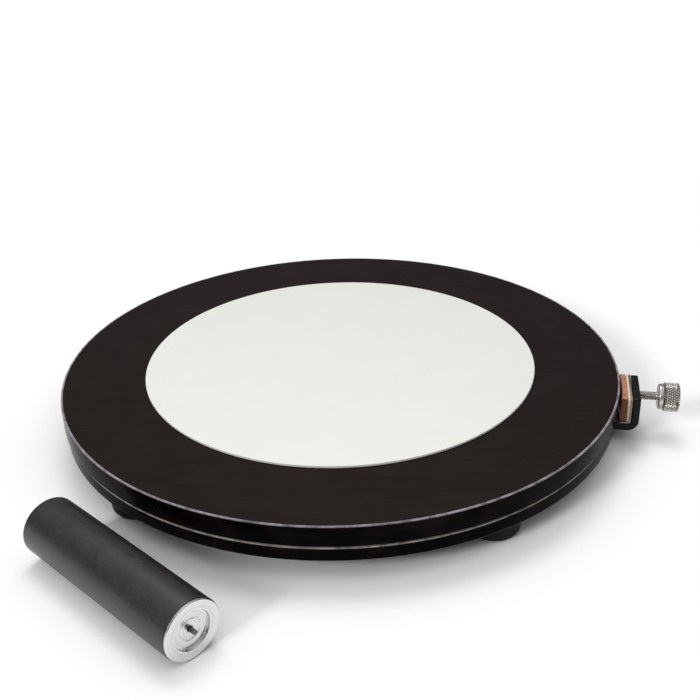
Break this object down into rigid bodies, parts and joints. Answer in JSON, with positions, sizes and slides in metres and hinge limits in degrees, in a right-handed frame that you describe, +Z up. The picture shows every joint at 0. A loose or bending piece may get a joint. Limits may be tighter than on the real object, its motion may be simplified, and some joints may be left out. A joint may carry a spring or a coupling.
{
  "type": "banding wheel turntable",
  "caption": "Low round bench turntable: a black wheel with a white centre disc turns on a flat footed base, with a thumb-screw drag brake at the rim and a loose centring post.",
  "frame": {"origin": "centre of the white disc's top face, on the spindle axis", "axes": "+Z up along the spindle, +X from the spindle to the drag brake, +Y away from the centring post"},
  "size_m": [0.3364, 0.3673, 0.0326],
  "materials": {
    "black_laminate": "matte laminate with a faint grain",
    "black_band": "gloss edge band",
    "core_board": "raw fibreboard",
    "white_plastic": "satin white slick plastic",
    "bearing_steel": "rolled steel",
    "cage_plastic": "natural nylon",
    "zinc_steel": "zinc plated",
    "bush_bronze": "sintered bronze",
    "foot_rubber": "matte rubber",
    "bracket_paint": "gloss black enamel",
    "nickel_steel": "nickel plated, knurled",
    "shoe_steel": "plain sheet steel",
    "cream_backing": "pressed felt",
    "brake_leather": "undyed vegetable-tanned leather",
    "oxide_black": "satin black oxide",
    "turned_aluminium": "fine turned",
    "dark_steel": "bare tool steel"
  },
  "bodies": {
    "base": {"base_board": "black_laminate", "base_edge_band": "black_band", "lower_race": "bearing_steel", "lower_race_screw_1": "zinc_steel", "lower_race_screw_2": "zinc_steel", "lower_race_screw_3": "zinc_steel", "pivot_bush": "bush_bronze", "foot_front_left": "foot_rubber", "foot_front_right": "foot_rubber", "foot_rear_left": "foot_rubber", "foot_rear_right": "foot_rubber", "foot_screw_1": "zinc_steel", "foot_screw_2": "zinc_steel", "foot_screw_3": "zinc_steel", "foot_screw_4": "zinc_steel", "brake_bracket": "bracket_paint", "bracket_screw_1": "zinc_steel", "bracket_screw_2": "zinc_steel"},
    "wheel": {"wheel_board": "core_board", "wheel_laminate": "black_laminate", "wheel_edge_band": "black_band", "glide_disc": "white_plastic", "upper_race": "bearing_steel", "upper_race_screw_1": "zinc_steel", "upper_race_screw_2": "zinc_steel", "upper_race_screw_3": "zinc_steel", "pivot_bolt": "zinc_steel", "pivot_washer": "zinc_steel", "pivot_nut": "zinc_steel"},
    "ball_ring": {"ball_cage": "cage_plastic", "bearing_ball_1": "bearing_steel", "bearing_ball_2": "bearing_steel", "bearing_ball_3": "bearing_steel", "bearing_ball_4": "bearing_steel", "bearing_ball_5": "bearing_steel", "bearing_ball_6": "bearing_steel", "bearing_ball_7": "bearing_steel", "bearing_ball_8": "bearing_steel", "bearing_ball_9": "bearing_steel", "bearing_ball_10": "bearing_steel", "bearing_ball_11": "bearing_steel", "bearing_ball_12": "bearing_steel"},
    "brake_pad": {"pressure_shoe": "shoe_steel", "pad_backing": "cream_backing", "brake_leather": "brake_leather"},
    "thumb_screw": {"thumb_screw": "nickel_steel"},
    "centring_post": {"post_sleeve": "oxide_black", "post_core": "turned_aluminium", "centre_pin": "dark_steel"}
  },
  "joints": [
    {"name": "wheel_spin", "type": "hinge", "parent": "base", "child": "wheel", "pos_m": [0, 0, 0], "axis": [0, 0, 1], "continuous": true},
    {"name": "ball_ring_spin", "type": "hinge", "parent": "base", "child": "ball_ring", "pos_m": [0, 0, -0.0127], "axis": [0, 0, 1], "continuous": true},
    {"name": "pad_slide", "type": "slide", "parent": "base", "child": "brake_pad", "axis": [1, 0, 0], "range_m": [-0.0012, 0]},
    {"name": "screw_turn", "type": "hinge", "parent": "brake_pad", "child": "thumb_screw", "pos_m": [0.1592, 0, -0.011], "axis": [1, 0, 0], "range_deg": [-545, 0]},
    {"name": "post_lift", "type": "slide", "parent": "base", "child": "centring_post", "axis": [0, 0, 1], "range_m": [0, 0.12]}
  ],
  "couplings": [
    {"joint": "ball_ring_spin", "follows": "wheel_spin", "ratio": 0.5},
    {"joint": "screw_turn", "follows": "pad_slide", "rad_per_m": 7915.8}
  ]
}
